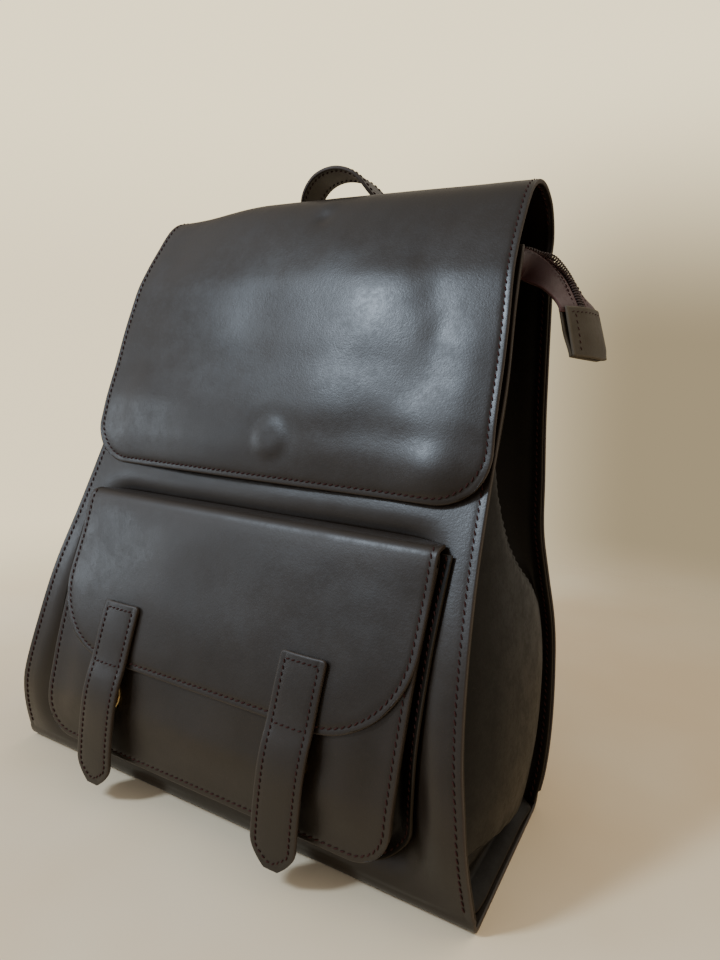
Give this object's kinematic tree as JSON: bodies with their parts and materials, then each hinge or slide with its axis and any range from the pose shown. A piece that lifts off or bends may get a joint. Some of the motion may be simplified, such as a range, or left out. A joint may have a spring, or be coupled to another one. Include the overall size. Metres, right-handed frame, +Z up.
{
  "type": "leather backpack",
  "caption": "Soft leather backpack with a fold-over flap, zip mouth, flapped front pocket with snap tabs, grab handle and buckled shoulder straps.",
  "frame": {"origin": "middle of the flat base, on the surface the bag stands on", "axes": "+X to the wearer's right when seen from the front as the picture shows it, -Y out of the front with the pocket, +Z up"},
  "size_m": [0.3081, 0.1858, 0.3531],
  "materials": {
    "leather": "waxed dark brown, soft sheen",
    "burgundy_leather": "smooth semi-matte burgundy",
    "olive_leather": "dry olive brown",
    "zip_tape": "woven dark brown",
    "zip_coil": "dark brown nylon",
    "brass": "antique brass, satin",
    "steel": "plain"
  },
  "bodies": {
    "bag": {"front_panel": "leather", "back_panel": "leather", "base_panel": "leather", "side_gusset_left": "leather", "side_gusset_right": "leather", "flap_crown": "leather", "flap_snap_cup": "brass", "flap_snap_washer": "steel", "zip_end_left": "burgundy_leather", "zip_tail": "burgundy_leather", "zip_end_tab": "olive_leather", "pocket_front": "leather", "pocket_gusset": "leather", "pocket_flap_root": "leather", "tab_snap_cup_left": "brass", "tab_snap_washer_left": "steel", "tab_snap_cup_right": "brass", "tab_snap_washer_right": "steel", "handle_foot_left": "leather", "handle_foot_right": "leather", "strap_yoke": "leather", "strap_upper_left": "leather", "buckle_frame_left": "brass", "strap_lower_left": "leather", "buckle_prong_left": "brass", "strap_keeper_left": "leather", "strap_anchor_left": "leather", "strap_upper_right": "leather", "buckle_frame_right": "brass", "strap_lower_right": "leather", "buckle_prong_right": "brass", "strap_keeper_right": "leather", "strap_anchor_right": "leather"},
    "flap": {"main_flap": "leather", "flap_snap_button": "brass"},
    "pocket_lid": {"pocket_flap": "leather", "tab_sewn_left": "leather", "tab_sewn_right": "leather"},
    "tab_left": {"tab_free_left": "leather", "tab_snap_button_left": "brass"},
    "tab_right": {"tab_free_right": "leather", "tab_snap_button_right": "brass"},
    "zip_leaf_front": {"zip_facing_front": "burgundy_leather", "zip_tape_front": "zip_tape", "zip_coil_front": "zip_coil"},
    "zip_leaf_rear": {"zip_facing_rear": "burgundy_leather", "zip_tape_rear": "zip_tape", "zip_coil_rear": "zip_coil"},
    "slider": {"zip_slider": "brass"},
    "pull": {"zip_pull": "brass"},
    "handle": {"handle_loop": "leather"}
  },
  "joints": [
    {"name": "flap_lift", "type": "hinge", "parent": "bag", "child": "flap", "pos_m": [0, 0.06, 0.3312], "axis": [-1, 0, 0], "range_deg": [0, 115]},
    {"name": "pocket_lid_lift", "type": "hinge", "parent": "bag", "child": "pocket_lid", "pos_m": [0, -0.0275, 0.1582], "axis": [-1, 0, 0], "range_deg": [0, 110]},
    {"name": "tab_lift_left", "type": "hinge", "parent": "pocket_lid", "child": "tab_left", "pos_m": [-0.062, -0.0665, 0.072], "axis": [-1, 0, 0], "range_deg": [0, 35]},
    {"name": "tab_lift_right", "type": "hinge", "parent": "pocket_lid", "child": "tab_right", "pos_m": [0.06, -0.0665, 0.072], "axis": [-1, 0, 0], "range_deg": [0, 35]},
    {"name": "zip_front_spread", "type": "hinge", "parent": "bag", "child": "zip_leaf_front", "pos_m": [0, 0.0412, 0.2936], "axis": [1, 0, 0], "range_deg": [0, 40]},
    {"name": "zip_rear_spread", "type": "hinge", "parent": "bag", "child": "zip_leaf_rear", "pos_m": [0, 0.0818, 0.2942], "axis": [-1, 0, 0], "range_deg": [0, 38]},
    {"name": "zip_slide", "type": "slide", "parent": "bag", "child": "slider", "axis": [1, 0, 0], "range_m": [0, 0.205]},
    {"name": "pull_swing", "type": "hinge", "parent": "slider", "child": "pull", "pos_m": [-0.09155, 0.062, 0.30585], "axis": [0, 1, 0], "range_deg": [0, 40]},
    {"name": "handle_tilt", "type": "hinge", "parent": "bag", "child": "handle", "pos_m": [0, 0.0898, 0.3145], "axis": [-1, 0, 0], "range_deg": [0, 60], "stiffness_Nm_per_rad": 0.02}
  ]
}
